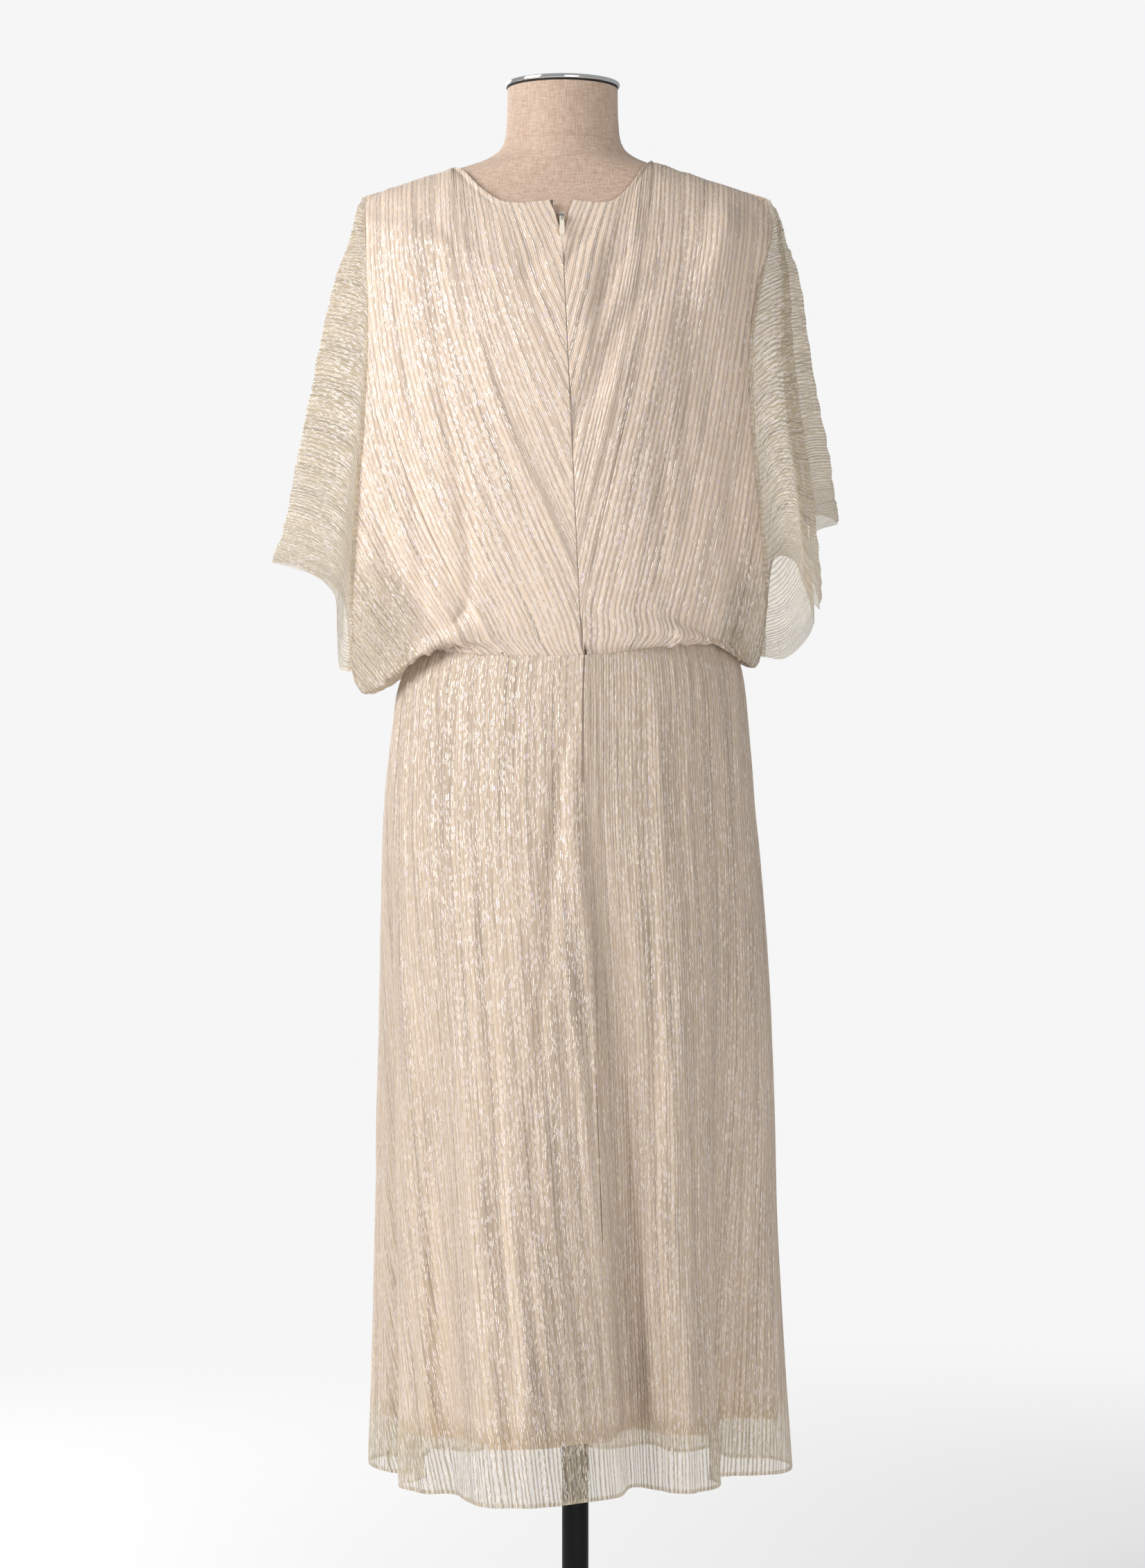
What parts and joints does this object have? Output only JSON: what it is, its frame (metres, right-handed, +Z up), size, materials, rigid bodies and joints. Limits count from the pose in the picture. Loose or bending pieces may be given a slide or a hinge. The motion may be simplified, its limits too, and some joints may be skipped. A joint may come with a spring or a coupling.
{
  "type": "midi dress on a limbless dress form with a pole stand",
  "caption": "Midi dress of crinkle-pleated metallic cloth with draped sleeves, bloused waist and back zip, on a limbless dress form on a pole stand.",
  "frame": {"origin": "on the floor at the centre of the round base's underside, on the pole's axis", "axes": "+Z up the pole, -Y towards the dress's centre back with the zip, +X towards the wearer's right side"},
  "size_m": [0.533, 0.3448, 1.562],
  "materials": {
    "plisse": "crinkle pleated, metallic thread",
    "sheer": "sheer crinkle pleated, metallic thread",
    "lining": "plain knit",
    "tape": "woven tape",
    "metal": "satin",
    "cream": "enamelled",
    "linen": "linen weave",
    "chrome": "polished",
    "black": "satin black"
  },
  "bodies": {
    "dress": {"bodice_back_left": "plisse", "bodice_back_right": "plisse", "bodice_front": "plisse", "sleeve_left": "sheer", "sleeve_right": "sheer", "skirt_back_left": "plisse", "skirt_back_right": "plisse", "skirt_front": "plisse", "lining_back": "lining", "lining_front": "lining", "zip_tape": "tape", "zip_slider": "metal", "form_bust": "linen", "form_cap": "chrome", "form_pole": "black", "form_base": "black"},
    "pull": {"zip_pull": "cream"}
  },
  "joints": [
    {"name": "pull_swing", "type": "hinge", "parent": "dress", "child": "pull", "pos_m": [-0.01255, -0.08287, 1.42374], "axis": [-1, 0, 0], "range_deg": [0, 150]}
  ]
}
